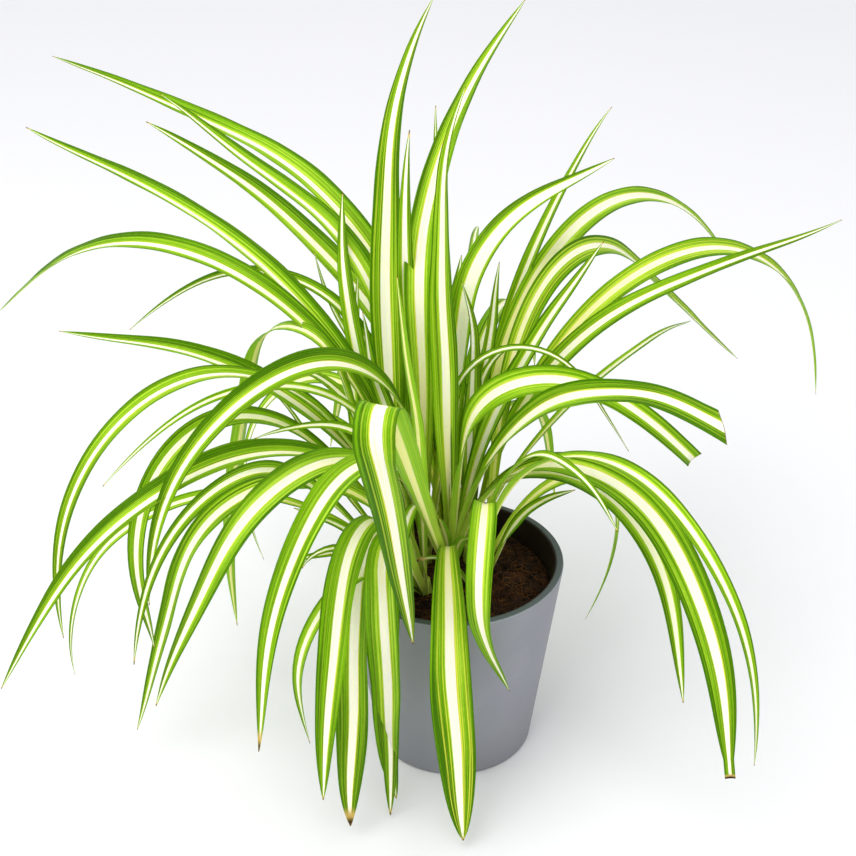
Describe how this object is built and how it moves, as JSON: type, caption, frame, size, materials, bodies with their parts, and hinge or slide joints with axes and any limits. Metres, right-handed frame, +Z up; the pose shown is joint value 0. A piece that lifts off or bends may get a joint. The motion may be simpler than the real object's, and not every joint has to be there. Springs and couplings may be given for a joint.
{
  "type": "potted spider plant",
  "caption": "Variegated spider plant with long arching leaves in a plain tapered matt pot filled with compost.",
  "frame": {"origin": "centre of the pot's flat foot, on the surface that it stands on", "axes": "+Z up, the front of the plant faces -Y, +X to the right of someone looking at the front"},
  "size_m": [0.5399, 0.5753, 0.4335],
  "materials": {
    "pot_grey": "matt",
    "compost": "rough, damp",
    "leaf": "satin, green edges with a cream stripe"
  },
  "bodies": {
    "root": {"pot": "pot_grey", "soil": "compost", "rosette_heart": "leaf", "rosette_front_left": "leaf", "rosette_left": "leaf", "rosette_back_left": "leaf", "rosette_back": "leaf", "rosette_back_right": "leaf", "rosette_right": "leaf", "rosette_front_right": "leaf"}
  },
  "joints": []
}
